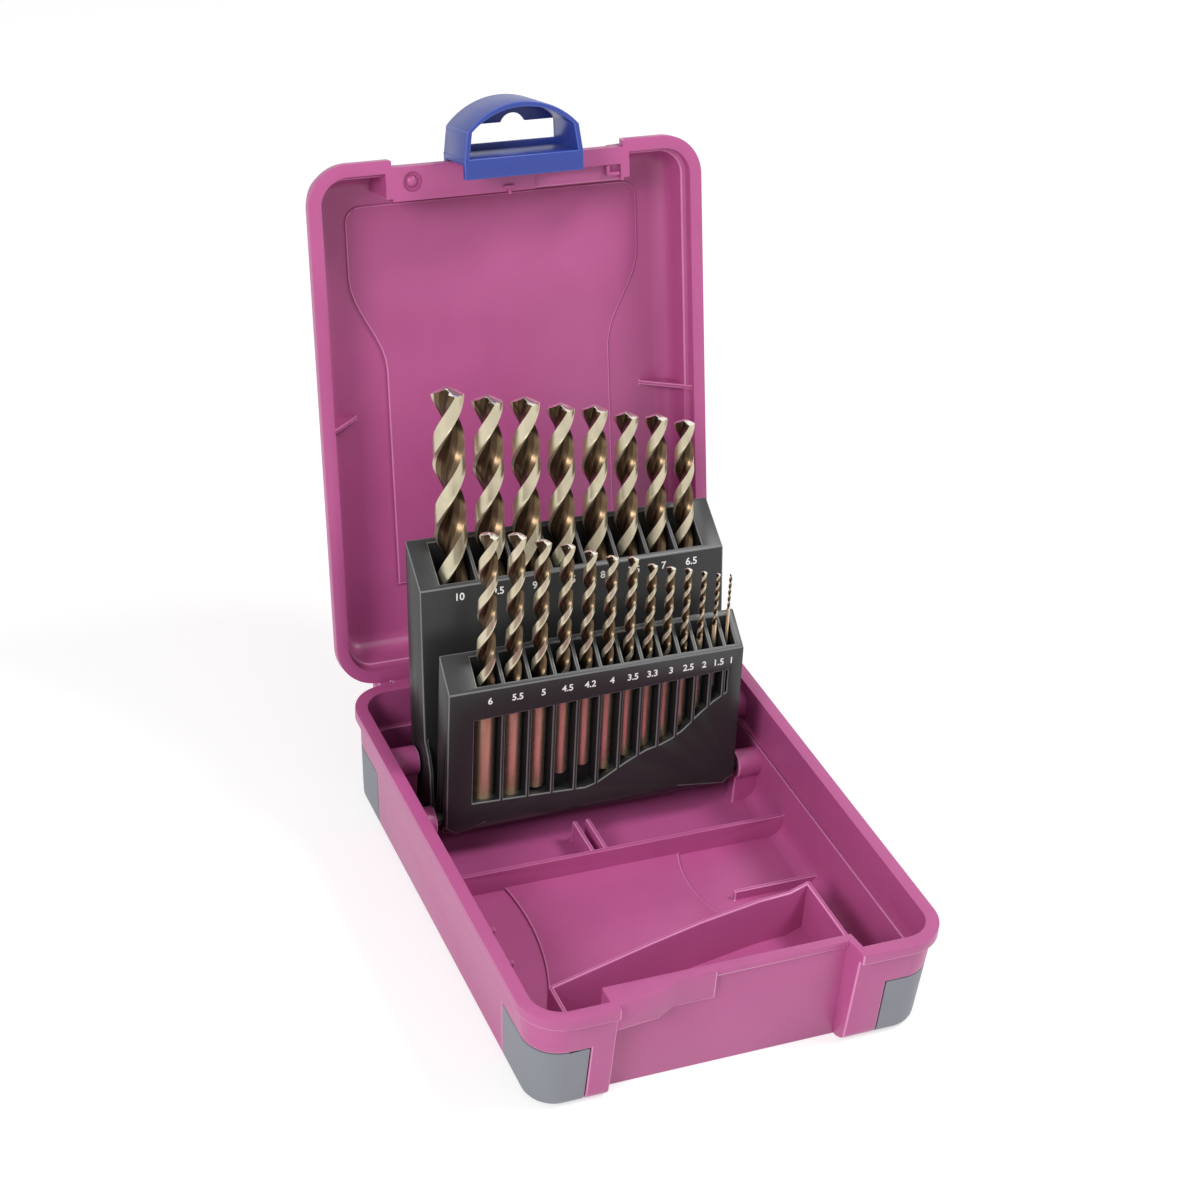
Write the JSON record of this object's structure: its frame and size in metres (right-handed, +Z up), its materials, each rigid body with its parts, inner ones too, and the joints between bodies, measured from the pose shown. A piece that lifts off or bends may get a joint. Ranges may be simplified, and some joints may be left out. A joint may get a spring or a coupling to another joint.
{
  "type": "drill bit case",
  "caption": "Hinged plastic case with a sliding hang-up latch and two fold-down racks holding a set of twist drill bits.",
  "frame": {"origin": "middle of the base's flat underside", "axes": "+X to the right when the latch faces the viewer, +Y towards the hinge, +Z up; the lid is open and the racks are raised"},
  "size_m": [0.13, 0.2317, 0.2124],
  "materials": {
    "pink_plastic": "satin moulded",
    "grey_plastic": "satin moulded",
    "blue_plastic": "satin moulded",
    "black_plastic": "satin moulded",
    "pin_steel": "drawn wire",
    "bit_steel": "ground, straw-tempered"
  },
  "bodies": {
    "base": {"base_shell": "pink_plastic", "bumper_front_left": "grey_plastic", "bumper_front_right": "grey_plastic", "bumper_rear_left": "grey_plastic", "bumper_rear_right": "grey_plastic", "hinge_pin_left": "pin_steel", "hinge_pin_right": "pin_steel"},
    "lid": {"lid_shell": "pink_plastic"},
    "latch": {"latch": "blue_plastic"},
    "rear_rack": {"rear_rack": "black_plastic", "rear_pivot_pin_left": "black_plastic", "rear_pivot_pin_right": "black_plastic", "drill_10_0": "bit_steel", "drill_9_5": "bit_steel", "drill_9_0": "bit_steel", "drill_8_5": "bit_steel", "drill_8_0": "bit_steel", "drill_7_5": "bit_steel", "drill_7_0": "bit_steel", "drill_6_5": "bit_steel"},
    "front_rack": {"front_rack": "black_plastic", "front_pivot_pin_left": "black_plastic", "front_pivot_pin_right": "black_plastic", "drill_6_0": "bit_steel", "drill_5_5": "bit_steel", "drill_5_0": "bit_steel", "drill_4_5": "bit_steel", "drill_4_2": "bit_steel", "drill_4_0": "bit_steel", "drill_3_5": "bit_steel", "drill_3_3": "bit_steel", "drill_3_0": "bit_steel", "drill_2_5": "bit_steel", "drill_2_0": "bit_steel", "drill_1_5": "bit_steel", "drill_1_0": "bit_steel"}
  },
  "joints": [
    {"name": "lid_hinge", "type": "hinge", "parent": "base", "child": "lid", "pos_m": [0, 0.08465, 0.0323], "axis": [1, 0, 0], "range_deg": [0, 105]},
    {"name": "rear_rack_fold", "type": "hinge", "parent": "base", "child": "rear_rack", "pos_m": [0, 0.0527, 0.0272], "axis": [1, 0, 0], "range_deg": [0, 95]},
    {"name": "front_rack_fold", "type": "hinge", "parent": "base", "child": "front_rack", "pos_m": [0, 0.0349, 0.0164], "axis": [1, 0, 0], "range_deg": [0, 88]},
    {"name": "latch_slide", "type": "slide", "parent": "lid", "child": "latch", "axis": [-1, 0, 0], "range_m": [-0.004, 0.014]}
  ],
  "couplings": [
    {"joint": "rear_rack_fold", "follows": "lid_hinge", "ratio": 0.9047},
    {"joint": "front_rack_fold", "follows": "lid_hinge", "ratio": 0.838}
  ]
}
